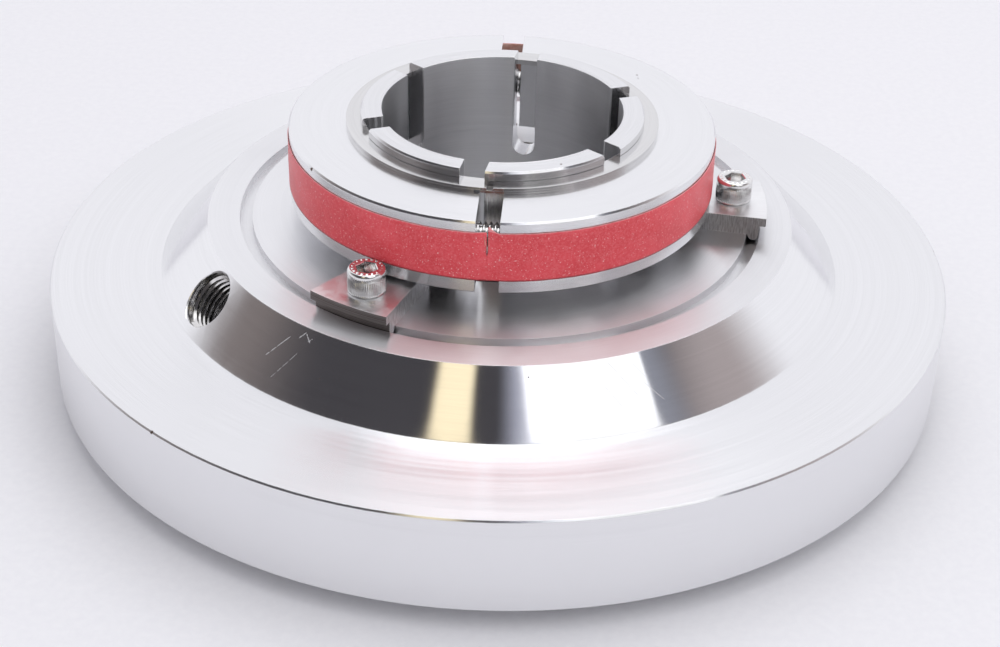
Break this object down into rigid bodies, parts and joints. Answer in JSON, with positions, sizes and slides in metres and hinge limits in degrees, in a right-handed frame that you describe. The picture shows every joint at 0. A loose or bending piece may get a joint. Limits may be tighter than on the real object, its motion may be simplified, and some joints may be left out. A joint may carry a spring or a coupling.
{
  "type": "cartridge mechanical seal",
  "caption": "Cartridge mechanical seal: round flanged gland with a conical boss and flush port, slotted shaft sleeve, split lock collar with a red band, and setting clips.",
  "frame": {"origin": "on the shaft axis, at the lower face of the pilot that the seal stands on", "axes": "+Z along the shaft axis, away from the pump and towards the lock collar; the front of the split faces about -Y"},
  "size_m": [0.2414, 0.2414, 0.0753],
  "materials": {
    "turned_stainless": "fine turned",
    "screw_steel": "bright",
    "spring_steel": "smooth bright",
    "silicon_carbide": "lapped",
    "carbon": "satin",
    "black_rubber": "satin",
    "red_tape": "glossy"
  },
  "bodies": {
    "gland": {"anti_rotation_pin_1": "screw_steel", "anti_rotation_pin_2": "screw_steel", "bush_keeper_ring": "spring_steel", "clip_screw_1": "screw_steel", "clip_screw_2": "screw_steel", "clip_screw_3": "screw_steel", "face_spring_1": "spring_steel", "face_spring_2": "spring_steel", "face_spring_3": "spring_steel", "face_spring_4": "spring_steel", "face_spring_5": "spring_steel", "face_spring_6": "spring_steel", "gland_o_ring": "black_rubber", "gland_plate": "turned_stainless", "setting_clip_1": "turned_stainless", "setting_clip_2": "turned_stainless", "setting_clip_3": "turned_stainless", "throttle_bush": "carbon"},
    "rotor": {"clamp_screw_front": "screw_steel", "clamp_screw_rear": "screw_steel", "collar_retaining_ring": "spring_steel", "drive_pin_1": "screw_steel", "drive_pin_2": "screw_steel", "lock_collar_left": "turned_stainless", "lock_collar_right": "turned_stainless", "printed_band": "red_tape", "rotating_face": "silicon_carbide", "rotating_face_o_ring": "black_rubber", "shaft_o_ring": "black_rubber", "shaft_sleeve": "turned_stainless"},
    "seal_head": {"stationary_face": "carbon", "stationary_o_ring": "black_rubber", "thrust_ring": "turned_stainless"}
  },
  "joints": [
    {"name": "rotor_spin", "type": "hinge", "parent": "gland", "child": "rotor", "pos_m": [0, 0, 0], "axis": [0, 0, 1], "continuous": true},
    {"name": "face_float", "type": "slide", "parent": "gland", "child": "seal_head", "axis": [0, 0, 1], "range_m": [0, 0.0015], "stiffness_N_per_m": 2000, "springref_m": -0.002, "deforming": ["face_spring_1", "face_spring_2", "face_spring_3", "face_spring_4", "face_spring_5", "face_spring_6"]}
  ]
}
